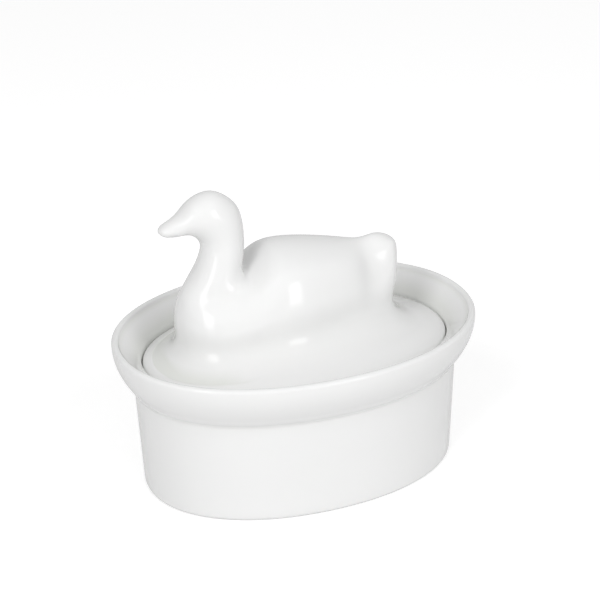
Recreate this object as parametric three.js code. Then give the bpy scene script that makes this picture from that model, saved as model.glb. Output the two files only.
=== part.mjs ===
// Oval porcelain casserole dish with a thick collar, and its recessed lid, cast hollow in one with a
// swimming duck. Millimetres, +Z up, the duck faces -X. Origin: centre of the dish's foot, on the table.

import * as THREE from 'three';

// Dish: plan and outside
const dish_length = 165;
const dish_width = 120;
const dish_height = 70.6;
const plan_squareness = 2.12;
const collar_height = 22.2;
const collar_overhang = 8.9;
const collar_underside = 4.1;
const collar_shoulder = 5.7;
const collar_bulge = 1.5;
const underside_bow = 1;
const crease_fillet = 4;
const lip_radius = 1.65;
const wall_taper = 2.25;
const base_edge_radius = 2.4;

// Dish: foot and inside
const foot_width = 5;
const foot_recess = 1.2;
const wall_at_base = 5.8;
const floor_thickness = 5.5;
const floor_fillet = 10;
const gallery_hollow = 1;
const gallery_fillet = 1;
const ledge_width = 4;
const ledge_edge_radius = 1.2;

// Lid plate, set down inside the collar
const lid_recess = 10.3;
const lid_edge_thickness = 5;
const lid_side_clearance = 0.6;
const lid_seat_gap = 0.3;
const lid_seat_width = 5;
const lid_edge_radius = 1.2;
const seat_edge_radius = 0.8;
const lid_inset = 13.1;
const lid_wall = 4.5;
const dome_rise = 13.2;
const dome_crown = 1.5;

// Duck's body: lengths along it, half-widths, and heights above the lid's edge
const breast_margin = 14.2;
const tail_margin = 23.4;
const tail_length = 17;
const tail_lean = 5.3;
const haunch_length = 9;
const widest_setback = 50;
const breast_half_width = 21;
const body_half_width = 24;
const haunch_half_width = 18.5;
const waist_half_width = 8.6;
const waist_foot_half_width = 14;
const tail_half_width = 9.4;
const tail_foot_half_width = 11;
const breast_roundness = 20;
const tail_roundness = 8;
const foot_fillet = 8.5;
const fillet_middle = 2.3;
const flank_bulge = 0.25;
const shoulder_height = 39;
const nape_rise_height = 47.4;
const back_height = 51.3;
const haunch_height = 49.3;
const dip_height = 45.6;
const tail_height = 46;
const tail_end_height = 46.2;
const shoulder_setback = 10;
const nape_rise_length = 8.3;
const tail_top_setback = 7.2;

// Duck's neck, head and bill: [behind the breast, above the lid's edge] of points on the mid-plane
const throat_line = [
  [7.9, 41.9], [11.8, 48], [13.2, 52.7], [12.5, 56.6], [9.9, 60], [6.2, 61.6], [0.9, 61.5], [-3.6, 62.5],
];
const crown_line = [
  [32, 41.5], [32.5, 53.1], [32.1, 62.7], [29.4, 72.1], [20.1, 79.2], [10.3, 77.4], [3, 71], [-3.7, 67.4],
];
const bill_tip = [-6.1, 64.9];
const neck_half_widths = [12, 9.8, 9, 9, 8.6, 7.2, 4.9, 3.6];
const neck_stations = 13;
const bore_stations = 7;

// Facets: columns round the duck, and where they stand along its body, from the tail's tip to the breast
const dish_segments = 72;
const columns = 34;
const neck_columns = 12;
const column_shares = [
  0, 0.013, 0.045, 0.1, 0.14, 0.17, 0.2, 0.25, 0.34, 0.44, 0.53, 0.61, 0.7, 0.775, 0.85, 0.92, 0.975, 1,
];
const dome_ring_shares = [0.4, 0.75, 1];
const flank_ring_angles = [0, 14, 29, 44, 58];
const settling_rounds = 2;

const half_length = dish_length / 2;
const half_width = dish_width / 2;
const lid_edge_height = dish_height - lid_recess;
const lid_seat_height = lid_edge_height - lid_edge_thickness;
const ledge_height = lid_seat_height - lid_seat_gap;
const lid_half_length = half_length - lid_inset;
const lid_half_width = half_width - lid_inset;

// One point of the oval plan, at a parameter angle, on the outline that lies inset from the rim.
function planPoint(angle, inset) {
  const c = Math.cos(angle);
  const s = Math.sin(angle);
  const power = 2 / plan_squareness;
  return new THREE.Vector2(
    (half_length - inset) * Math.sign(c) * Math.abs(c) ** power,
    (half_width - inset) * Math.sign(s) * Math.abs(s) ** power,
  );
}

// Points along an arc in the [inset, height] plane, angles in degrees from the outward direction.
function arc(inset, height, radius, from, to, steps) {
  return Array.from({ length: steps + 1 }, (_, k) => {
    const a = THREE.MathUtils.degToRad(from + ((to - from) * k) / steps);
    return [inset - radius * Math.cos(a), height + radius * Math.sin(a)];
  });
}

// Points strictly between two profile points, pushed outward in a bow of the given height.
function bow(start, end, height, steps) {
  return Array.from({ length: steps - 1 }, (_, k) => {
    const t = (k + 1) / steps;
    const inset = THREE.MathUtils.lerp(start[0], end[0], t) - height * 4 * t * (1 - t);
    return [inset, THREE.MathUtils.lerp(start[1], end[1], t)];
  });
}

// Points along the arc of a given radius that rounds a profile's corner between its two neighbours.
function rounding(before, corner, after, radius, steps) {
  const [a, c, b] = [before, corner, after].map((p) => new THREE.Vector2(...p));
  a.sub(c).normalize();
  b.sub(c).normalize();
  const half_angle = a.angleTo(b) / 2;
  const centre = a.clone().add(b).setLength(radius / Math.sin(half_angle)).add(c);
  const start = a.multiplyScalar(radius / Math.tan(half_angle)).add(c).sub(centre);
  const end = b.multiplyScalar(radius / Math.tan(half_angle)).add(c).sub(centre);
  return Array.from({ length: steps + 1 }, (_, k) => {
    const p = start.clone().lerp(end, k / steps).setLength(radius).add(centre);
    return [p.x, p.y];
  });
}

function meshFrom(name, geometry, material) {
  geometry.computeVertexNormals();
  const mesh = new THREE.Mesh(geometry, material);
  mesh.name = name;
  return mesh;
}

// An oval profile, carried round the plan from the middle of the underside to the middle of the floor.
function ovalTurning(profile, segments) {
  const positions = [];
  profile.forEach(([inset, height]) => {
    for (let k = 0; k < segments; k += 1) {
      const p = planPoint((2 * Math.PI * k) / segments, inset);
      positions.push(p.x, p.y, height);
    }
  });
  const under = positions.length / 3;
  positions.push(0, 0, profile[0][1]);
  positions.push(0, 0, profile.at(-1)[1]);
  const index = [];
  for (let k = 0; k < segments; k += 1) {
    const next = (k + 1) % segments;
    index.push(under, next, k);
    for (let r = 0; r + 1 < profile.length; r += 1) {
      const a = r * segments;
      const b = a + segments;
      index.push(a + k, a + next, b + next, a + k, b + next, b + k);
    }
    const top = (profile.length - 1) * segments;
    index.push(under + 1, top + k, top + next);
  }
  const geometry = new THREE.BufferGeometry();
  geometry.setAttribute('position', new THREE.Float32BufferAttribute(positions, 3));
  geometry.setIndex(index);
  return geometry;
}

// Dish: foot ring, tapered wall, thick collar, rolled lip, sloping gallery, ledge, cavity.
function dishProfile() {
  const crease_height = dish_height - collar_height;
  const base_inset = collar_overhang + wall_taper;
  const foot_outer = base_inset + base_edge_radius;
  const foot_inner = foot_outer + foot_width;
  const lip_height = dish_height - lip_radius;
  const crease = [collar_overhang, crease_height];
  const shoulder = [collar_shoulder, crease_height + collar_underside];
  const underside = bow(crease, shoulder, underside_bow, 3);
  const gallery_inset = lid_inset - lid_side_clearance;
  const gallery_top = [2 * lip_radius, lip_height];
  const gallery_foot = [gallery_inset, lid_edge_height];
  const ledge_inner = gallery_inset + ledge_width;
  const cavity_top = ledge_height - ledge_edge_radius;
  const cavity_inset = base_inset + wall_at_base;
  const floor_height = foot_recess + floor_thickness;
  return [
    [foot_inner + foot_recess, foot_recess],
    [foot_inner, 0],
    [foot_outer, 0],
    ...arc(base_inset + base_edge_radius, base_edge_radius, base_edge_radius, -60, 0, 2),
    ...rounding([base_inset, base_edge_radius], crease, underside[0], crease_fillet, 3),
    ...underside,
    shoulder,
    ...bow(shoulder, [0, lip_height], collar_bulge, 5),
    ...arc(lip_radius, lip_height, lip_radius, 0, 180, 6),
    ...bow(gallery_top, gallery_foot, -gallery_hollow, 4),
    gallery_foot,
    ...arc(gallery_inset + gallery_fillet, ledge_height + gallery_fillet, gallery_fillet, 0, -90, 2),
    ...arc(ledge_inner - ledge_edge_radius, cavity_top, ledge_edge_radius, 90, 180, 3),
    [cavity_inset, floor_height + floor_fillet],
    ...arc(cavity_inset + floor_fillet, floor_height + floor_fillet, floor_fillet, -18, -90, 4),
  ];
}

// Height of the lid's dome above any point of its plan.
function domeHeight(x, y) {
  const share = Math.hypot(
    Math.abs(x / lid_half_length) ** (plan_squareness / 2),
    Math.abs(y / lid_half_width) ** (plan_squareness / 2),
  ) ** (2 / plan_squareness);
  return lid_edge_height + dome_rise * (1 - Math.min(1, share) ** dome_crown);
}

const breast_x = -lid_half_length + breast_margin;
const tail_x = lid_half_length - tail_margin;
const body_length = tail_x - breast_x;
const waist_x = tail_x - tail_length;
const widest_x = breast_x + widest_setback;
const nape_x = breast_x + crown_line[0][0];
const haunch_x = waist_x - haunch_length;
const tail_middle_x = tail_x - tail_length / 2;

// A curve through a few stations, read by the distance along the body.
function graph(stations) {
  const curve = new THREE.SplineCurve(stations.map(([x, y]) => new THREE.Vector2(x, y)));
  return (x) => {
    let low = 0;
    let high = 1;
    for (let k = 0; k < 40; k += 1) {
      const middle = (low + high) / 2;
      if (curve.getPoint(middle).x < x) low = middle;
      else high = middle;
    }
    return curve.getPoint(low).y;
  };
}

// Half the body's width at its widest, from breast to tail, without the rounding of the two ends.
const widthAlong = (waist, tail) => graph([
  [breast_x, breast_half_width],
  [(breast_x + widest_x) / 2, (breast_half_width + body_half_width) / 2],
  [widest_x, body_half_width],
  [haunch_x, haunch_half_width],
  [waist_x, waist],
  [tail_middle_x, tail],
  [tail_x, tail_half_width],
]);

const footWidth = widthAlong(waist_foot_half_width, tail_foot_half_width);
const upperWidth = widthAlong(waist_half_width, tail_half_width);

// Height of the line along the duck's back: under the neck, up behind the nape, over the dip to the tail.
const ridge_front = breast_x + shoulder_setback;
const ridge_rear = tail_x + tail_lean - tail_top_setback;
const ridgeHeight = graph([
  [ridge_front, shoulder_height],
  [nape_x, shoulder_height],
  [nape_x + nape_rise_length, nape_rise_height],
  [widest_x, back_height],
  [haunch_x - haunch_length, haunch_height],
  [waist_x, dip_height],
  [tail_middle_x, tail_height],
  [ridge_rear, tail_end_height],
]);

function endRounding(distance, radius) {
  const share = THREE.MathUtils.clamp(distance / radius, 0, 1);
  return Math.sqrt(1 - (1 - share) ** 2);
}

// The body's plan for one column, counted from the tail's tip towards +Y and round. Its waist is a
// crease that deepens from the duck's foot, at height share 0, to its back, at 1.
function bodyPlan(column, height_share = 0) {
  const turned = ((column % columns) + columns) % columns;
  const side = turned <= columns / 2 ? 1 : -1;
  const x = tail_x - body_length * column_shares[side > 0 ? turned : columns - turned];
  const ends = endRounding(tail_x - x, tail_roundness) * endRounding(x - breast_x, breast_roundness);
  const width = THREE.MathUtils.lerp(footWidth(x), upperWidth(x), height_share);
  return new THREE.Vector2(x, side * width * ends);
}

function ridgePoint(column) {
  const share = (bodyPlan(column).x - breast_x) / body_length;
  const x = THREE.MathUtils.lerp(ridge_front, ridge_rear, share);
  return new THREE.Vector3(x, 0, lid_edge_height + ridgeHeight(x));
}

function outwardNormal(column) {
  const before = bodyPlan(column - 1);
  const after = bodyPlan(column + 1);
  return new THREE.Vector2(after.y - before.y, before.x - after.x).normalize();
}

// The lid's skin as a coarse cage: rings of columns from the seat, over the dome and up the flanks.
function skinRings() {
  const rings = [];
  const edgeRing = (inset, height) => Array.from({ length: columns }, (_, i) => {
    const p = planPoint((2 * Math.PI * i) / columns, lid_inset + inset);
    return new THREE.Vector3(p.x, p.y, height);
  });
  rings.push(edgeRing(0, lid_seat_height + lid_edge_radius));
  rings.push(edgeRing(0, lid_edge_height - lid_edge_radius));
  rings.push(edgeRing(lid_edge_radius, lid_edge_height));
  const footPoint = (i) => bodyPlan(i).addScaledVector(outwardNormal(i), foot_fillet);
  const footHeight = (i) => domeHeight(footPoint(i).x, footPoint(i).y);
  for (const share of dome_ring_shares) {
    rings.push(Array.from({ length: columns }, (_, i) => {
      const edge = planPoint((2 * Math.PI * i) / columns, lid_inset + lid_edge_radius);
      const p = edge.lerp(footPoint(i), share);
      return new THREE.Vector3(p.x, p.y, domeHeight(p.x, p.y));
    }));
  }
  rings.push(Array.from({ length: columns }, (_, i) => {
    const p = bodyPlan(i).addScaledVector(outwardNormal(i), fillet_middle);
    return new THREE.Vector3(p.x, p.y, footHeight(i) + fillet_middle);
  }));
  for (const angle of flank_ring_angles) {
    const a = THREE.MathUtils.degToRad(angle);
    const reach = Math.cos(a) * (1 + flank_bulge * Math.sin(a));
    rings.push(Array.from({ length: columns }, (_, i) => {
      const ridge = ridgePoint(i);
      const plan = bodyPlan(i, Math.sin(a));
      const low = footHeight(i) + foot_fillet;
      const lean = tail_lean * Math.sin(a) * THREE.MathUtils.smoothstep(plan.x, waist_x, tail_x);
      return new THREE.Vector3(
        THREE.MathUtils.lerp(ridge.x, plan.x + lean, reach),
        plan.y * reach,
        THREE.MathUtils.lerp(low, ridge.z, Math.sin(a)),
      );
    }));
  }
  return rings;
}

// Neck, head and bill: sections that fan round the throat, each through a point of both lines.
function neckRings() {
  const along = (line) => new THREE.SplineCurve(
    line.map(([back, up]) => new THREE.Vector2(breast_x + back, lid_edge_height + up)),
  );
  const throat = along(throat_line);
  const crown = along(crown_line);
  const widths = new THREE.SplineCurve(neck_half_widths.map((w, k) => new THREE.Vector2(k, w)));
  return Array.from({ length: neck_stations }, (_, k) => {
    const t = k / (neck_stations - 1);
    const front = throat.getPoint(t);
    const back = crown.getPoint(t);
    const width = widths.getPoint(t).y;
    return Array.from({ length: neck_columns }, (__, j) => {
      const a = (2 * Math.PI * j) / neck_columns;
      const p = front.clone().lerp(back, (1 + Math.cos(a)) / 2);
      return new THREE.Vector3(p.x, width * Math.sin(a), p.y);
    });
  });
}

// A cage of polygons that share points.
class Cage {
  constructor() {
    this.points = [];
    this.faces = [];
  }

  ring(points) {
    const start = this.points.length;
    this.points.push(...points);
    return points.map((_, k) => start + k);
  }

  band(lower, upper) {
    lower.forEach((a, k) => {
      const next = (k + 1) % lower.length;
      this.faces.push([a, lower[next], upper[next], upper[k]]);
    });
  }

  close(ring, tip) {
    const [end] = this.ring([tip]);
    ring.forEach((a, k) => this.faces.push([a, ring[(k + 1) % ring.length], end]));
  }

  // Closes the duck's back over the top ring, and returns the opening that the neck grows from.
  back(top) {
    const half = columns / 2;
    const last = half - (neck_columns - 2) / 2;
    const ridge = { 1: top[0] };
    for (let k = 2; k <= last; k += 1) [ridge[k]] = this.ring([ridgePoint(k)]);
    for (let k = 1; k < last; k += 1) {
      this.faces.push([top[k], top[k + 1], ridge[k + 1], ridge[k]]);
      this.faces.push([ridge[k], ridge[k + 1], top[columns - k - 1], top[columns - k]]);
    }
    const opening = [ridge[last]];
    for (let k = last; k <= columns - last; k += 1) opening.push(top[k]);
    return opening;
  }
}

// One round of Catmull and Clark's rule, which rounds a cage into a smooth surface.
function smooth(cage) {
  const { points, faces } = cage;
  const centre = (list) => list.reduce((sum, p) => sum.add(p), new THREE.Vector3())
    .multiplyScalar(1 / list.length);
  const facePoints = faces.map((face) => centre(face.map((i) => points[i])));
  const edges = new Map();
  const edgeOf = (a, b) => {
    const key = a < b ? `${a} ${b}` : `${b} ${a}`;
    if (!edges.has(key)) edges.set(key, { ends: [a, b], faces: [] });
    return edges.get(key);
  };
  faces.forEach((face, f) => {
    face.forEach((a, k) => edgeOf(a, face[(k + 1) % face.length]).faces.push(f));
  });
  const around = points.map(() => ({ faces: [], middles: [] }));
  faces.forEach((face, f) => face.forEach((i) => around[i].faces.push(facePoints[f])));
  for (const edge of edges.values()) {
    const middle = centre(edge.ends.map((i) => points[i]));
    edge.ends.forEach((i) => around[i].middles.push(middle));
  }
  const finer = new Cage();
  finer.ring(points.map((p, i) => {
    const n = around[i].faces.length;
    const mean = centre(around[i].faces).addScaledVector(centre(around[i].middles), 2);
    return mean.addScaledVector(p, n - 3).multiplyScalar(1 / n);
  }));
  const face_start = finer.points.length;
  finer.ring(facePoints);
  for (const edge of edges.values()) {
    const four = [...edge.ends.map((i) => points[i]), ...edge.faces.map((f) => facePoints[f])];
    [edge.point] = finer.ring([centre(four)]);
  }
  faces.forEach((face, f) => face.forEach((i, k) => {
    const next = edgeOf(i, face[(k + 1) % face.length]).point;
    const previous = edgeOf(face[(k + face.length - 1) % face.length], i).point;
    finer.faces.push([i, next, face_start + f, previous]);
  }));
  return finer;
}

// Moves a cage's points until the smoothed surface passes through the places that they were given.
// Points of the lid's rim are only moved level, so that its seat stays flat and at its height.
function settle(cage, rim) {
  const aims = cage.points.map((p) => p.clone());
  for (let k = 0; k < settling_rounds; k += 1) {
    const finer = smooth(cage);
    aims.forEach((aim, i) => {
      const move = aim.clone().sub(finer.points[i]);
      if (rim.has(i)) move.z = 0;
      cage.points[i].add(move);
    });
  }
  return cage;
}

function cageGeometry(cage) {
  const geometry = new THREE.BufferGeometry().setFromPoints(cage.points);
  const index = [];
  for (const [a, b, c, d] of cage.faces) {
    const [p, q, r, s] = [a, b, c, d].map((i) => cage.points[i]);
    if (p.distanceTo(r) < q.distanceTo(s)) index.push(a, b, c, a, c, d);
    else index.push(a, b, d, b, c, d);
  }
  geometry.setIndex(index);
  return geometry;
}

// The outer skin alone, open at its lower edge, with each point's outward direction.
function outerSkin() {
  const cage = new Cage();
  const body = skinRings().map((points) => cage.ring(points));
  for (let k = 0; k + 1 < body.length; k += 1) cage.band(body[k], body[k + 1]);
  const opening = cage.back(body.at(-1));
  const neck = neckRings().map((points) => cage.ring(points));
  cage.band(opening, neck[0]);
  for (let k = 0; k + 1 < neck.length; k += 1) cage.band(neck[k], neck[k + 1]);
  cage.close(neck.at(-1), new THREE.Vector3(breast_x + bill_tip[0], 0, lid_edge_height + bill_tip[1]));
  const normals = cage.points.map(() => new THREE.Vector3());
  for (const face of cage.faces) {
    const [a, b, c] = face.map((i) => cage.points[i]);
    const d = cage.points[face.at(-1)];
    const across = c.clone().sub(a).cross(d.clone().sub(b));
    face.forEach((i) => normals[i].add(across));
  }
  normals.forEach((n) => n.normalize());
  return { cage, body, neck, normals };
}

// Lid and duck: the skin, and inside it the hollow that the wall's thickness leaves.
function duckLid() {
  const { cage, body, neck, normals } = outerSkin();
  const outer_count = cage.points.length;
  const seat = (inset) => cage.ring(Array.from({ length: columns }, (_, i) => {
    const p = planPoint((2 * Math.PI * i) / columns, lid_inset + inset);
    return new THREE.Vector3(p.x, p.y, lid_seat_height);
  }));
  const seats = [
    seat_edge_radius,
    2 * seat_edge_radius,
    lid_seat_width - seat_edge_radius,
    lid_seat_width,
  ].map(seat);
  cage.band(seats[0], body[0]);
  for (let k = 0; k + 1 < seats.length; k += 1) cage.band(seats[k + 1], seats[k]);
  const inner = new Map();
  const inside = (i) => {
    if (!inner.has(i)) {
      const p = cage.points[i].clone().addScaledVector(normals[i], -lid_wall);
      inner.set(i, cage.ring([p])[0]);
    }
    return inner.get(i);
  };
  const first_hollow_ring = body.length - flank_ring_angles.length - 1 - dome_ring_shares.length;
  cage.band(body[first_hollow_ring].map(inside), seats.at(-1));
  const hollow_faces = cage.faces.filter((face) => face.every((i) => i < outer_count));
  const skipped = new Set([...body.slice(0, first_hollow_ring).flat()]);
  neck.slice(bore_stations).flat().forEach((i) => skipped.add(i));
  skipped.add(outer_count - 1);
  for (const face of hollow_faces) {
    if (!face.some((i) => skipped.has(i))) cage.faces.push(face.map(inside).reverse());
  }
  const blind = neck[bore_stations - 1].map(inside).reverse();
  const middle = blind.reduce((sum, i) => sum.add(cage.points[i]), new THREE.Vector3());
  cage.close(blind, middle.multiplyScalar(1 / blind.length));
  const rim = new Set([...body.slice(0, first_hollow_ring), ...seats].flat());
  return cageGeometry(smooth(settle(cage, rim)));
}

const glaze = () => new THREE.MeshStandardMaterial({ color: 0xf4f4f1, roughness: 0.12, metalness: 0 });

const casserole = new THREE.Group();
casserole.add(meshFrom('dish', ovalTurning(dishProfile(), dish_segments), glaze()));
casserole.add(meshFrom('duck_lid', duckLid(), glaze()));

export default casserole;
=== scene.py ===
"""White porcelain casserole dish and its lid, which is cast hollow in one with a swimming duck."""

from math import copysign, cos, hypot, pi, radians, sin, sqrt, tan

import bmesh
import bpy
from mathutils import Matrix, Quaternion, Vector


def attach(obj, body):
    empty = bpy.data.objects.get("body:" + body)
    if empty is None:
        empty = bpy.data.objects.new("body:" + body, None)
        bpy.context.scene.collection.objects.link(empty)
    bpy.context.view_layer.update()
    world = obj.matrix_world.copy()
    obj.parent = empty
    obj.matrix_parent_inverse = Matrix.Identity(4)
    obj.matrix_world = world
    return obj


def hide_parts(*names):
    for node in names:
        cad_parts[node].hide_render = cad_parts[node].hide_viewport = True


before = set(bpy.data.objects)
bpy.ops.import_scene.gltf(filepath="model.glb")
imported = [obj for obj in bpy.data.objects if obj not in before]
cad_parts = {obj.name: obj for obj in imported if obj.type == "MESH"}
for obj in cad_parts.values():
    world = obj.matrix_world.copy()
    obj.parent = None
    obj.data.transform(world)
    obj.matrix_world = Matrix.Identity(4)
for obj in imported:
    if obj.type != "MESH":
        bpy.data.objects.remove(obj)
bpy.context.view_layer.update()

# The casserole dish: one piece of cast porcelain, a tapered oval wall under a thick collar that
# rolls over at the lip. Inside the collar a gallery slopes down to the ledge that carries the lid.
# Sizes are in millimetres; an inset is measured in from the lip's outer edge.
millimetre = 0.001
dish_length = 165
dish_width = 120
dish_height = 70.6
plan_squareness = 2.12
collar_height = 22.2
collar_overhang = 8.9
collar_underside = 4.1
collar_shoulder = 5.7
collar_bulge = 1.5
underside_bow = 0.3
crease_fillet = 4
lip_radius = 1.65
wall_taper = 2.25
base_edge_radius = 2.4
foot_width = 5
foot_recess = 1.2
foot_edge_radius = 0.6
recess_edge_width = 3 * foot_edge_radius
wall_at_base = 5.8
floor_thickness = 5.5
floor_fillet = 10
gallery_hollow = 1
gallery_fillet = 1
ledge_width = 4
ledge_edge_radius = 1.2
lid_recess = 10.3
lid_edge_thickness = 5
lid_side_clearance = 0.2
lid_seat_gap = 0.3
lid_inset = 13.1
dish_columns = 80
middle_ring_shares = (0.3, 0.65)
# Painted shade: from a little below the lip down, faces that look in towards the middle are drawn in
# the glaze's grey, as the shade that the duck casts on the gallery.
painted_shade_depth = 4.5
slope_painted_shade = 0.75
flat_tolerance = 0.01

half_length = dish_length / 2
half_width = dish_width / 2
lip_thickness = 2 * lip_radius
lid_edge_height = dish_height - lid_recess
lid_seat_height = lid_edge_height - lid_edge_thickness
ledge_height = lid_seat_height - lid_seat_gap
painted_shade_top = dish_height - lip_thickness


def mix(a, b, share):
    return a + (b - a) * share


def clamp(value):
    return min(max(value, 0), 1)


def oval_point(angle, inset, height):
    """A point of the oval plan, on the outline that lies inset from the lip."""
    power = 2 / plan_squareness
    x = copysign(abs(cos(angle)) ** power, cos(angle)) * (half_length - inset)
    y = copysign(abs(sin(angle)) ** power, sin(angle)) * (half_width - inset)
    return Vector((x, y, height))


def oval(columns, inset, height):
    return [oval_point(2 * pi * k / columns, inset, height) for k in range(columns)]


def arc(centre, radius, start, end, steps):
    """Profile points on an arc, with its angles in degrees from the outward direction."""
    turns = [radians(mix(start, end, k / steps)) for k in range(steps + 1)]
    return [(centre[0] - radius * cos(a), centre[1] + radius * sin(a)) for a in turns]


def bow(start, end, rise, steps):
    """Profile points strictly between two others, pushed outwards in a bow."""
    shares = [k / steps for k in range(1, steps)]
    return [
        (mix(start[0], end[0], t) - rise * 4 * t * (1 - t), mix(start[1], end[1], t))
        for t in shares
    ]


def rounded(before, corner, after, radius, steps):
    """Profile points on the arc that rounds a corner between its two neighbours."""
    corner = Vector(corner)
    back = (Vector(before) - corner).normalized()
    ahead = (Vector(after) - corner).normalized()
    half_angle = back.angle(ahead) / 2
    centre = corner + (back + ahead).normalized() * radius / sin(half_angle)
    reach = radius / tan(half_angle)
    start = corner + back * reach - centre
    end = corner + ahead * reach - centre
    spokes = [start.lerp(end, k / steps).normalized() for k in range(steps + 1)]
    return [tuple(centre + spoke * radius) for spoke in spokes]


def first_ring(bm, places):
    """A closed ring of edges through the given places."""
    ring = bmesh.ops.create_circle(bm, segments=len(places), radius=1)["verts"]
    for vertex, place in zip(ring, places):
        vertex.co = place
    return ring


def grow(bm, ring, places, closed=True):
    """Extrudes a row of vertices by one step, and sets each new vertex in its place."""
    pairs = zip(ring, ring[1:] + ring[:1]) if closed else zip(ring, ring[1:])
    edges = [bm.edges.get(pair) for pair in pairs]
    made = set(bmesh.ops.extrude_edge_only(bm, edges=edges)["geom"])
    grown = []
    for vertex, place in zip(ring, places):
        above = next(e.other_vert(vertex) for e in vertex.link_edges if e.other_vert(vertex) in made)
        above.co = place
        grown.append(above)
    return grown


def grow_through(bm, ring, rows):
    """Extrudes a closed ring through rows of places, one after another, and returns the new rings."""
    made = []
    for places in rows:
        ring = grow(bm, ring, places)
        made.append(ring)
    return made


def piece(bm, name, levels, flats):
    """Makes the mesh a smooth object in metres, rounded by a subdivision surface.

    It also marks where glaze gathers in hollows, a mark that also paints their shade, and where shade
    is painted on faces low on the slope inside the lip, and which flats, given by height, are left
    bare."""
    bmesh.ops.recalc_face_normals(bm, faces=bm.faces)
    bm.normal_update()
    hollow_and_shade_layer = bm.verts.layers.float.new("hollowness_and_shade")
    bare = bm.verts.layers.float.new("bare")
    for vertex in bm.verts:
        # Glaze gathers in hollows, and the grey drawn there also paints the shade in creases.
        spokes = [edge.other_vert(vertex).co - vertex.co for edge in vertex.link_edges]
        bends = [2 * spoke.dot(vertex.normal) / spoke.length_squared for spoke in spokes]
        # Painted shade: faces that look in towards the middle, low inside the lip, get the pooled grey
        # too.
        outwards = Vector((vertex.co.x, vertex.co.y, 0)).normalized()
        inner = max(-vertex.normal.dot(outwards), 0)
        drop = clamp((painted_shade_top - vertex.co.z) / painted_shade_depth)
        vertex[hollow_and_shade_layer] = sum(bends) / len(bends) + slope_painted_shade * inner * drop
        vertex[bare] = float(any(abs(vertex.co.z - flat) < flat_tolerance for flat in flats))
    bmesh.ops.scale(bm, vec=(millimetre,) * 3, verts=bm.verts)
    mesh = bpy.data.meshes.new(name)
    bm.to_mesh(mesh)
    bm.free()
    mesh.shade_smooth()
    made = bpy.data.objects.new(name, mesh)
    bpy.context.scene.collection.objects.link(made)
    rounding = made.modifiers.new("rounding", "SUBSURF")
    rounding.levels = levels
    rounding.render_levels = levels
    with bpy.context.temp_override(object=made):
        bpy.ops.object.modifier_apply(modifier=rounding.name)
    return made


def dish_profile():
    """The dish's section, from the middle of its underside out, up, over the lip and down inside."""
    crease_height = dish_height - collar_height
    base_inset = collar_overhang + wall_taper
    foot_outer = base_inset + base_edge_radius
    foot_inner = foot_outer + foot_width
    slope_end = foot_inner + foot_recess
    lip_height = dish_height - lip_radius
    crease = (collar_overhang, crease_height)
    wall_foot = (base_inset, base_edge_radius)
    shoulder = (collar_shoulder, crease_height + collar_underside)
    underside = bow(crease, shoulder, underside_bow, steps=3)
    fillet = rounded(wall_foot, crease, underside[0], crease_fillet, steps=4)
    gallery_inset = lid_inset - lid_side_clearance
    gallery_top = (lip_thickness, lip_height)
    gallery_foot = (gallery_inset, lid_edge_height)
    gallery_centre = (gallery_inset + gallery_fillet, ledge_height + gallery_fillet)
    ledge_inner = gallery_inset + ledge_width
    cavity_top = (ledge_inner, ledge_height - ledge_edge_radius)
    ledge_centre = (ledge_inner - ledge_edge_radius, ledge_height - ledge_edge_radius)
    cavity_inset = base_inset + wall_at_base
    floor_height = foot_recess + floor_thickness
    cavity_foot = (cavity_inset, floor_height + floor_fillet)
    floor_centre = (cavity_inset + floor_fillet, floor_height + floor_fillet)
    return [
        (slope_end + recess_edge_width, foot_recess),
        (slope_end, foot_recess),
        (foot_inner + foot_edge_radius, foot_edge_radius),
        (foot_inner, 0),
        (foot_inner - foot_edge_radius, 0),
        (foot_outer + foot_edge_radius, 0),
        *arc((foot_outer, base_edge_radius), base_edge_radius, start=-90, end=0, steps=4),
        *bow(wall_foot, fillet[0], rise=0, steps=6),
        *fillet,
        *underside,
        shoulder,
        *bow(shoulder, (0, lip_height), rise=collar_bulge, steps=8),
        *arc((lip_radius, lip_height), lip_radius, start=0, end=180, steps=8),
        *bow(gallery_top, gallery_foot, rise=-gallery_hollow, steps=6),
        gallery_foot,
        *arc(gallery_centre, gallery_fillet, start=0, end=-90, steps=3),
        *arc(ledge_centre, ledge_edge_radius, start=90, end=180, steps=4),
        *bow(cavity_top, cavity_foot, rise=0, steps=6),
        *arc(floor_centre, floor_fillet, start=0, end=-90, steps=8),
    ]


def middle_ovals(inset, height):
    """Ovals that carry a flat on from its edge to near its middle, the innermost first."""
    return [oval(dish_columns, mix(half_width, inset, share), height) for share in middle_ring_shares]


def dish_mesh():
    profile = dish_profile()
    underside = middle_ovals(*profile[0])
    wall = [oval(dish_columns, inset, height) for inset, height in profile]
    cavity_floor = middle_ovals(*profile[-1])
    bm = bmesh.new()
    middle = first_ring(bm, underside[0])
    bmesh.ops.contextual_create(bm, geom=middle)
    rings = grow_through(bm, middle, [*underside[1:], *wall, *reversed(cavity_floor)])
    bmesh.ops.contextual_create(bm, geom=rings[-1])
    return bm


dish = piece(dish_mesh(), "porcelain_dish", levels=2, flats=[0, ledge_height])
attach(dish, "dish")
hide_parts("dish")

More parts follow.
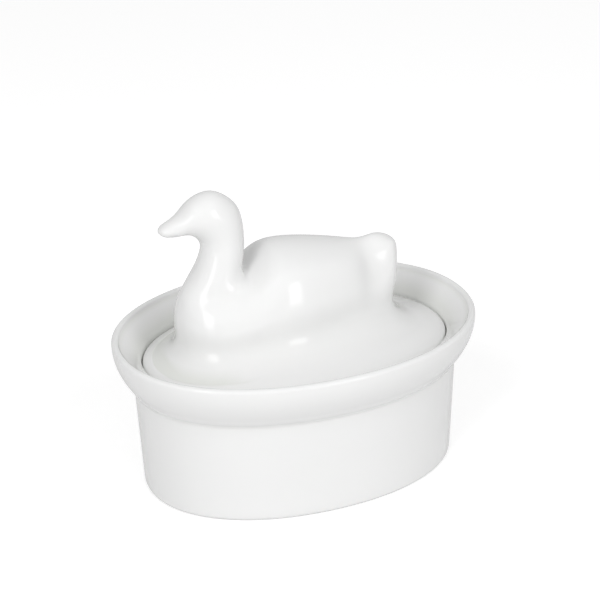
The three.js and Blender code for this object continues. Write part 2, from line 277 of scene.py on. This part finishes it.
# The finish of both pieces: a clear gloss glaze over white porcelain, and bare clay where it is wiped
# off. The glaze is greyer where it gathers in hollows, which also paints the shade of the creases, and
# greyer on faces that look inwards low inside the lip, which is painted shade. The sizes of the
# patterns and the relief's height are in millimetres.
white_shade = (0.862, 0.864, 0.860, 1)
white_light = (0.884, 0.884, 0.882, 1)
pooled_grey_and_shade = (0.72, 0.74, 0.68, 1)
clay_shade = (0.80, 0.785, 0.75, 1)
clay_light = (0.86, 0.85, 0.82, 1)
cloud_size = 45
wave_size = 14
ripple_size = 3.5
grain_size = 0.35
wiped_edge_size = 5
wiped_edge_waver = 0.3
wiped_edge_start = 0.55
wiped_edge_end = 0.75
hollow_and_shade_gain = 2
least_pool_and_shade = 0.3
cloudy_pool_and_shade = 0.3
relief_height = 0.06
wave_relief = 0.8
ripple_relief = 0.08
clay_relief = 0.6
white_roughness = 0.16
ripple_roughness = 0.06
clay_roughness = 0.5
white_specular = 0.1
glaze_roughness = 0.045
glass_ior = 1.5


class Term:
    """A number on a node's socket, which Python's operators carry on with Math nodes."""

    def __init__(self, finish, socket):
        self.finish = finish
        self.socket = socket

    def math(self, operation, *values, clamp=False):
        settings = {"operation": operation, "use_clamp": clamp}
        return self.finish.node("ShaderNodeMath", settings, dict(enumerate(values)), out="Value")

    def __add__(self, other):
        return self.math("ADD", self, other)

    def __radd__(self, other):
        return self.math("ADD", other, self)

    def __sub__(self, other):
        return self.math("SUBTRACT", self, other)

    def __rsub__(self, other):
        return self.math("SUBTRACT", other, self)

    def __mul__(self, other):
        return self.math("MULTIPLY", self, other)

    def __rmul__(self, other):
        return self.math("MULTIPLY", other, self)

    def __pow__(self, other):
        return self.math("POWER", self, other)

    def clamped(self):
        return self.math("ADD", self, 0, clamp=True)


class Finish:
    """The nodes of one material, or of the world."""

    def __init__(self, owner):
        owner.use_nodes = True
        self.owner = owner
        self.tree = owner.node_tree
        self.tree.nodes.clear()

    def node(self, kind, settings=None, sockets=None, out=None):
        """Adds a node: its settings first, then its sockets' values or links.

        Returns the output that is asked for, or else the node."""
        made = self.tree.nodes.new(kind)
        for name, value in (settings or {}).items():
            setattr(made, name, value)
        for name, value in (sockets or {}).items():
            if isinstance(value, Term):
                self.tree.links.new(value.socket, made.inputs[name])
            else:
                made.inputs[name].default_value = value
        return Term(self, made.outputs[out]) if out else made


def noise(finish, place, size, detail=2.0):
    """A soft random value from 0 to 1 whose clouds are about that size, in millimetres."""
    sockets = {"Vector": place, "Scale": 1 / (size * millimetre), "Detail": detail}
    return finish.node("ShaderNodeTexNoise", sockets=sockets, out="Fac")


def attribute(finish, name):
    """The value that piece() has marked on the mesh under that name."""
    return finish.node("ShaderNodeAttribute", {"attribute_name": name}, out="Fac")


def step_up(finish, value, low, high):
    """0 below low, 1 above high, and smooth between them."""
    settings = {"interpolation_type": "SMOOTHSTEP"}
    sockets = {"Value": value, "From Min": low, "From Max": high}
    return finish.node("ShaderNodeMapRange", settings, sockets, out="Result")


def blend_colours(finish, share, first, second):
    """The first colour where share is 0, and the second where it is 1."""
    settings = {"data_type": "RGBA"}
    return finish.node("ShaderNodeMix", settings, {"Factor": share, 6: first, 7: second}, out=2)


def porcelain(name):
    """Clear gloss glaze over white porcelain, wiped off along a soft line where a flat is left bare."""
    finish = Finish(bpy.data.materials.new(name))
    place = finish.node("ShaderNodeTexCoord", out="Object")
    clouds = noise(finish, place, cloud_size)
    waves = noise(finish, place, wave_size, detail=1.0)
    ripple = noise(finish, place, ripple_size, detail=1.0)
    grain = noise(finish, place, grain_size, detail=3.0)
    waver = wiped_edge_waver * noise(finish, place, wiped_edge_size)
    unglazed = step_up(finish, attribute(finish, "bare") + waver, wiped_edge_start, wiped_edge_end)
    glazed = 1 - unglazed
    # Painted shade: the grey is laid where piece() marked hollows and inward faces low inside the lip.
    # In the hollows it is partly the glaze's real gathering.
    gathered_and_shaded = (attribute(finish, "hollowness_and_shade") * hollow_and_shade_gain).clamped()
    pool_and_shade = gathered_and_shaded * (least_pool_and_shade + cloudy_pool_and_shade * clouds)
    white = blend_colours(finish, clouds, white_shade, white_light)
    pooled_and_shaded = blend_colours(finish, pool_and_shade, white, pooled_grey_and_shade)
    clay = blend_colours(finish, grain, clay_shade, clay_light)
    glaze_relief = waves * wave_relief + ripple * ripple_relief
    bump = finish.node(
        "ShaderNodeBump",
        sockets={
            "Strength": 1.0,
            "Distance": relief_height * millimetre,
            "Height": glazed * glaze_relief + unglazed * grain * clay_relief,
        },
        out="Normal",
    )
    shader = finish.node(
        "ShaderNodeBsdfPrincipled",
        sockets={
            "Base Color": blend_colours(finish, unglazed, pooled_and_shaded, clay),
            "Roughness": white_roughness + ripple * ripple_roughness + unglazed * clay_roughness,
            "IOR": glass_ior,
            "Specular IOR Level": white_specular,
            "Coat Weight": glazed,
            "Coat Roughness": glaze_roughness,
            "Coat IOR": glass_ior,
            "Normal": bump,
        },
        out="BSDF",
    )
    finish.node("ShaderNodeOutputMaterial", sockets={"Surface": shader})
    return finish.owner


dish.data.materials.append(porcelain("dish_glaze"))

# The lid and its duck: one hollow casting of porcelain. A plate with a low dome drops in behind the
# collar, and body, neck, head, bill and tail rise from it in one skin. The hollow inside follows the
# duck up into its neck. The clay was smoothed by hand and glazed in one with the plate.
lid_seat_width = 5
lid_edge_radius = 1
seat_edge_radius = 0.8
lid_wall = 4.5
dome_rise = 13.2
dome_crown = 1.61
breast_margin = 14.2
tail_margin = 23.4
tail_length = 17
pinch_setback = 3.6
tail_lean = 5.2
haunch_length = 9
widest_setback = 50
breast_half_width = 20.5
body_half_width = 23.6
haunch_half_width = 18.2
waist_half_width = 8.7
waist_foot_half_width = 14
tail_half_width = 9.5
tail_foot_half_width = 10.7
breast_roundness = 25
tail_roundness = 6.9
foot_fillet = 9.7
fillet_middle = 3.5
flank_bulge = 0.22
shoulder_height = 39.1
nape_rise_height = 47.7
back_height = 51.5
haunch_height = 49.3
dip_height = 45.5
tail_height = 46.2
tail_end_height = 46.5
shoulder_setback = 6.8
nape_rise_length = 7.5
tail_top_setback = 7.4
throat_line = [
    (8.1, 41.6), (11.6, 48), (13, 52.7), (12.5, 56.6),
    (9.9, 60), (6.2, 61.6), (0.9, 61.5), (-3.6, 62.5),
]
crown_line = [
    (30.9, 41.1), (32.3, 53.1), (32.1, 62.7), (29.4, 72.1),
    (20.1, 79.2), (10.3, 77.4), (3, 71), (-3.7, 67.4),
]
bill_tip = (-6.1, 64.9)
neck_half_widths = [12, 9.8, 9, 9, 8.6, 7.2, 4.9, 3.6]
neck_stations = 13
bore_stations = 7
columns = 34
neck_columns = 12
first_ridge_column = 2
column_shares = [
    0, 0.013, 0.045, 0.1, 0.14, 0.17, 0.2, 0.25, 0.34,
    0.44, 0.53, 0.61, 0.7, 0.775, 0.85, 0.92, 0.975, 1,
]
dome_ring_shares = [0.4, 0.75, 1]
flank_ring_angles = [0, 14, 29, 44, 58]
join_length = 29
join_rows = 2
join_smoothing = 0.5
search_rounds = 30
settling_rounds = 2

lid_half_length = half_length - lid_inset
lid_half_width = half_width - lid_inset
breast_x = -lid_half_length + breast_margin
tail_x = lid_half_length - tail_margin
body_length = tail_x - breast_x
waist_x = tail_x - tail_length
pinch_x = waist_x + pinch_setback
widest_x = breast_x + widest_setback
nape_x = breast_x + crown_line[0][0]
haunch_x = waist_x - haunch_length
tail_middle_x = tail_x - tail_length / 2
ridge_front = breast_x + shoulder_setback
ridge_rear = tail_x + tail_lean - tail_top_setback


def spline(points, share):
    """A point of the smooth curve that passes through the given points."""
    last = len(points) - 1
    k = min(int(share * last), last - 1)
    a, b, c, d = (Vector(points[min(max(j, 0), last)]) for j in range(k - 1, k + 3))
    t = share * last - k
    return b + ((c - a) * t + (2 * a - 5 * b + 4 * c - d) * t**2 + (3 * b - a - 3 * c + d) * t**3) / 2


def graph(stations):
    """The curve through a few stations, read by the distance along the body."""

    def read(x):
        low, high = 0, 1
        for _ in range(search_rounds):
            middle = (low + high) / 2
            if spline(stations, middle).x < x:
                low = middle
            else:
                high = middle
        return spline(stations, low).y

    return read


def width_along(waist, tail):
    """Half the body's width along its length, for one half width of the waist and one of the tail."""
    return graph([
        (breast_x, breast_half_width),
        ((breast_x + widest_x) / 2, (breast_half_width + body_half_width) / 2),
        (widest_x, body_half_width),
        (haunch_x, haunch_half_width),
        (pinch_x, waist),
        ((pinch_x + tail_x) / 2, tail),
        (tail_x, tail_half_width),
    ])


foot_half_width = width_along(waist_foot_half_width, tail_foot_half_width)
upper_half_width = width_along(waist_half_width, tail_half_width)
ridge_height = graph([
    (ridge_front, shoulder_height),
    (nape_x, shoulder_height),
    (nape_x + nape_rise_length, nape_rise_height),
    (widest_x, back_height),
    (haunch_x - haunch_length, haunch_height),
    (waist_x, dip_height),
    (tail_middle_x, tail_height),
    (ridge_rear, tail_end_height),
])


def end_rounding(distance, radius):
    """The share of its width that the plan has at that distance from one of its round ends."""
    return sqrt(1 - (1 - clamp(distance / radius)) ** 2)


def body_plan(column, share=0):
    """The body's plan for one column, from its foot, at share 0, to its back, at share 1."""
    turned = column % columns
    side = 1 if turned <= columns / 2 else -1
    x = tail_x - body_length * column_shares[turned if side > 0 else columns - turned]
    ends = end_rounding(tail_x - x, tail_roundness) * end_rounding(x - breast_x, breast_roundness)
    return Vector((x, side * ends * mix(foot_half_width(x), upper_half_width(x), share), 0))


def outward(column):
    """The level direction that points straight away from the body's plan."""
    before, after = body_plan(column - 1), body_plan(column + 1)
    return Vector((after.y - before.y, before.x - after.x, 0)).normalized()


def ridge_point(column):
    """The point of the back's middle line that the column's flank climbs to."""
    x = mix(ridge_front, ridge_rear, (body_plan(column).x - breast_x) / body_length)
    return Vector((x, 0, lid_edge_height + ridge_height(x)))


def on_dome(place):
    """The place, lifted to the height of the lid's dome."""
    power = plan_squareness / 2
    share = hypot(abs(place.x / lid_half_length) ** power, abs(place.y / lid_half_width) ** power)
    height = lid_edge_height + dome_rise * (1 - clamp(share ** (1 / power)) ** dome_crown)
    return Vector((place.x, place.y, height))


def rim_rings():
    """Rings of places from the inner edge of the lid's seat, out under it and up its rounded edge."""
    seat_flat = lid_seat_width - seat_edge_radius
    seat_insets = [lid_seat_width, seat_flat, 2 * seat_edge_radius, seat_edge_radius]
    return [
        *(oval(columns, lid_inset + inset, lid_seat_height) for inset in seat_insets),
        oval(columns, lid_inset, lid_seat_height + lid_edge_radius),
        oval(columns, lid_inset, lid_edge_height - lid_edge_radius),
        oval(columns, lid_inset + lid_edge_radius, lid_edge_height),
    ]


def skin_rings(edge):
    """Rings of places from the lid's edge over the dome, round the duck's foot and up its flanks."""
    foot = [on_dome(body_plan(i) + outward(i) * foot_fillet) for i in range(columns)]
    rings = [[on_dome(a.lerp(b, share)) for a, b in zip(edge, foot)] for share in dome_ring_shares]
    lift = Vector((0, 0, fillet_middle))
    fillet = [body_plan(i) + outward(i) * fillet_middle for i in range(columns)]
    rings.append([Vector((p.x, p.y, f.z)) + lift for p, f in zip(fillet, foot)])
    for angle in map(radians, flank_ring_angles):
        reach = cos(angle) * (1 + flank_bulge * sin(angle))
        ring = []
        for i in range(columns):
            ridge, plan = ridge_point(i), body_plan(i, sin(angle))
            rear = clamp((plan.x - waist_x) / tail_length)
            lean = tail_lean * sin(angle) * rear**2 * (3 - 2 * rear)
            height = mix(foot[i].z + foot_fillet, ridge.z, sin(angle))
            ring.append(Vector((mix(ridge.x, plan.x + lean, reach), plan.y * reach, height)))
        rings.append(ring)
    return rings


def neck_rings():
    """Sections of neck, head and bill that fan round the throat, each through a point of both lines."""
    rings = []
    for k in range(neck_stations):
        share = k / (neck_stations - 1)
        front, back = spline(throat_line, share), spline(crown_line, share)
        width = spline([(w, 0) for w in neck_half_widths], share).x
        ring = []
        for angle in (2 * pi * j / neck_columns for j in range(neck_columns)):
            middle = front.lerp(back, (1 + cos(angle)) / 2)
            ring.append(Vector((breast_x + middle.x, width * sin(angle), lid_edge_height + middle.y)))
        rings.append(ring)
    return rings


def close_back(bm, top, ridge_places):
    """Closes the duck's back along a row of ridge points, and leaves the opening for its neck."""
    last = len(ridge_places) + 1
    sides = [top[1 : last + 1], top[: -last - 1 : -1]]
    rows = [grow(bm, side, [top[0].co, *ridge_places], closed=False) for side in sides]
    joined = {rows[0][0]: top[0], rows[1][0]: top[0], **dict(zip(rows[1][1:], rows[0][1:]))}
    bmesh.ops.weld_verts(bm, targetmap=joined)
    ridge = rows[0][1:]
    return ridge, [ridge[-1], *top[last : 1 - last]]


def close_tip(bm, ring, place):
    """Extrudes a closed ring once more and draws it together in one point."""
    tip = grow(bm, ring, [place] * len(ring))
    bmesh.ops.pointmerge(bm, verts=tip, merge_co=place)


def inner_places(row):
    """Places one wall's thickness behind a row of the skin's vertices."""
    return [vertex.co - vertex.normal * lid_wall for vertex in row]


def settle(bm, rim):
    """Moves the cage until its rounded surface passes through the places that it was given.

    The rim is only moved level, so that the lid's seat stays flat."""
    aims = {vertex: vertex.co.copy() for vertex in bm.verts}
    for _ in range(settling_rounds):
        surface = {}
        for vertex in bm.verts:
            n = len(vertex.link_edges)
            edges = sum(((e.verts[0].co + e.verts[1].co) / 2 for e in vertex.link_edges), Vector())
            faces = sum((f.calc_center_median() for f in vertex.link_faces), Vector())
            surface[vertex] = ((n - 3) * vertex.co + (2 * edges + faces) / n) / n
        for vertex, aim in aims.items():
            move = aim - surface[vertex]
            if vertex in rim:
                move.z = 0
            vertex.co += move


def lid_mesh():
    bm = bmesh.new()
    rim_places = rim_rings()
    seat = first_ring(bm, rim_places[0])
    rim = [seat, *grow_through(bm, seat, rim_places[1:])]
    skin = grow_through(bm, rim[-1], skin_rings(rim_places[-1]))
    ridge_end = first_ridge_column + (columns - neck_columns) // 2
    ridge_places = [ridge_point(k) for k in range(first_ridge_column, ridge_end)]
    ridge, opening = close_back(bm, skin[-1], ridge_places)
    neck = grow_through(bm, opening, neck_rings())
    close_tip(bm, neck[-1], Vector((breast_x + bill_tip[0], 0, lid_edge_height + bill_tip[1])))
    rows = skin[-join_rows:] + neck[:join_rows]
    join = [vertex for row in rows for vertex in row if vertex.co.x < breast_x + join_length]
    every_way = {"use_axis_x": True, "use_axis_y": True, "use_axis_z": True}
    bmesh.ops.smooth_vert(bm, verts=join, factor=join_smoothing, **every_way)
    bmesh.ops.recalc_face_normals(bm, faces=bm.faces)
    bm.normal_update()
    hollow = [inner_places(row) for row in skin]
    hollow_ridge = inner_places(ridge)
    bore = [inner_places(row) for row in neck[:bore_stations]]
    ring = grow_through(bm, seat, hollow)[-1]
    ring = close_back(bm, ring, hollow_ridge)[1]
    ring = grow_through(bm, ring, bore)[-1]
    close_tip(bm, ring, sum(bore[-1], Vector()) / neck_columns)
    settle(bm, {vertex for row in rim for vertex in row})
    return bm


lid = piece(lid_mesh(), "porcelain_duck_lid", levels=3, flats=[lid_seat_height])
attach(lid, "lid")
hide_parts("duck_lid")
lid.data.materials.append(porcelain("lid_glaze"))

# The floor: one sheet of pale matt paper that runs far past the dish. The camera sees it as white,
# and the glaze mirrors a part of that white, while the dish keeps its shadow on it.
floor_size = 12
paper_shade = (0.80, 0.80, 0.80, 1)
paper_light = (0.82, 0.82, 0.82, 1)
paper_grain_size = 1.5
paper_glow = 0.45
mirrored_white = 0.3


def seen_white(finish):
    """How white a background looks to a ray: 1 to the camera's, less to mirrored ones, and else 0."""
    rays = finish.node("ShaderNodeLightPath")
    camera_ray = Term(finish, rays.outputs["Is Camera Ray"])
    glossy_ray = Term(finish, rays.outputs["Is Glossy Ray"])
    transmission_ray = Term(finish, rays.outputs["Is Transmission Ray"])
    return (camera_ray + mirrored_white * (glossy_ray + transmission_ray)).clamped()


bm = bmesh.new()
bmesh.ops.create_grid(bm, x_segments=1, y_segments=1, size=floor_size / 2)
floor_mesh = bpy.data.meshes.new("floor")
bm.to_mesh(floor_mesh)
bm.free()
floor = bpy.data.objects.new("floor", floor_mesh)
bpy.context.scene.collection.objects.link(floor)

paper = Finish(bpy.data.materials.new("white_paper"))
paper_place = paper.node("ShaderNodeTexCoord", out="Object")
paper_grain = noise(paper, paper_place, paper_grain_size, detail=4.0)
paper_colour = blend_colours(paper, paper_grain, paper_shade, paper_light)
matt = paper.node("ShaderNodeBsdfDiffuse", sockets={"Color": paper_colour}, out="BSDF")
glow_strength = paper_glow * seen_white(paper)
glow = paper.node("ShaderNodeEmission", sockets={"Strength": glow_strength}, out="Emission")
paper_surface = paper.node("ShaderNodeAddShader", sockets={0: matt, 1: glow}, out="Shader")
paper.node("ShaderNodeOutputMaterial", sockets={"Surface": paper_surface})
floor.data.materials.append(paper.owner)

# The room: a plain soft light from all round, somewhat stronger from above, from the front left and
# from behind on the right, which shades the porcelain's round sides. The camera sees it as white.
white = (1, 1, 1, 1)
light_all_round = 0.34
light_from_above = 0.16
light_from_front = 0.23
light_from_behind = 0.27
up = (0, 0, 1)
front_left = (-0.366, -0.785, 0.5)
behind_right = (0.36, 0.933, 0)


def lobe(finish, direction, power):
    """How far a ray of the world points in a direction: 1 along it, and 0 at a right angle."""
    ray = finish.node("ShaderNodeTexCoord", out="Generated")
    settings = {"operation": "DOT_PRODUCT"}
    aligned = finish.node("ShaderNodeVectorMath", settings, {0: ray, 1: direction}, out="Value")
    return aligned.clamped() ** power


room = bpy.data.worlds.new("room")
bpy.context.scene.world = room
air = Finish(room)
above = light_from_above * lobe(air, up, power=2)
front = light_from_front * lobe(air, front_left, power=3)
behind = light_from_behind * lobe(air, behind_right, power=2)
room_light = light_all_round + above + front + behind
strength = room_light + (1 - room_light) * seen_white(air)
sockets = {"Color": white, "Strength": strength}
background = air.node("ShaderNodeBackground", sockets=sockets, out="Background")
air.node("ShaderNodeOutputWorld", sockets={"Surface": background})

# The lamps: a tall soft box stands low on each side of the camera and gives the long highlights.
# A plain fill stands above each, and the glaze doesn't mirror it. Widths and heights are in metres.
lamp_distance = 1.4
lamp_aim = Vector((0, 0, 0.09))


def soft_box(name, azimuth, elevation, width, height, power, shows=True):
    """A rectangular lamp that faces the duck, with its azimuth from the dish's front.

    The glaze mirrors it only if it shows."""
    data = bpy.data.lights.new(name, "AREA")
    data.shape = "RECTANGLE"
    data.size = width
    data.size_y = height
    data.energy = power
    lamp = bpy.data.objects.new(name, data)
    bpy.context.scene.collection.objects.link(lamp)
    a, e = radians(azimuth), radians(elevation)
    out = Vector((sin(a) * cos(e), -cos(a) * cos(e), sin(e)))
    lamp.location = lamp_aim + out * lamp_distance
    lamp.rotation_mode = "QUATERNION"
    lamp.rotation_quaternion = out.to_track_quat("Z", "Y")
    lamp.visible_glossy = shows


soft_box("left_box", azimuth=-50, elevation=15, width=0.38, height=0.9, power=2.2)
soft_box("right_box", azimuth=20, elevation=9, width=0.36, height=0.75, power=1.9)
soft_box("left_fill", azimuth=-50, elevation=40, width=0.5, height=0.7, power=4.7, shows=False)
soft_box("right_fill", azimuth=20, elevation=38, width=0.5, height=0.7, power=4.4, shows=False)

# The camera stands where the photograph was taken, to the left of the duck's side and a little above,
# with a long lens. Its place, aim and roll were fitted to the outlines of the dish in the photograph.
sensor_width = 36
lens_length = 138.52
farthest_view = 30
camera_place = Vector((-0.32479, -0.85010, 0.52938))
camera_aim = Vector((0.01010, 0.01922, 0.07017))
camera_roll = radians(-1.435)
camera_data = bpy.data.cameras.new("camera")
camera_data.sensor_width = sensor_width
camera_data.lens = lens_length
camera_data.clip_end = farthest_view
camera = bpy.data.objects.new("camera", camera_data)
bpy.context.scene.collection.objects.link(camera)
camera.location = camera_place
camera.rotation_mode = "QUATERNION"
looking = (camera_aim - camera_place).to_track_quat("-Z", "Y")
camera.rotation_quaternion = looking @ Quaternion((0, 0, 1), camera_roll)
bpy.context.scene.camera = camera
bpy.context.scene.view_settings.view_transform = "Standard"
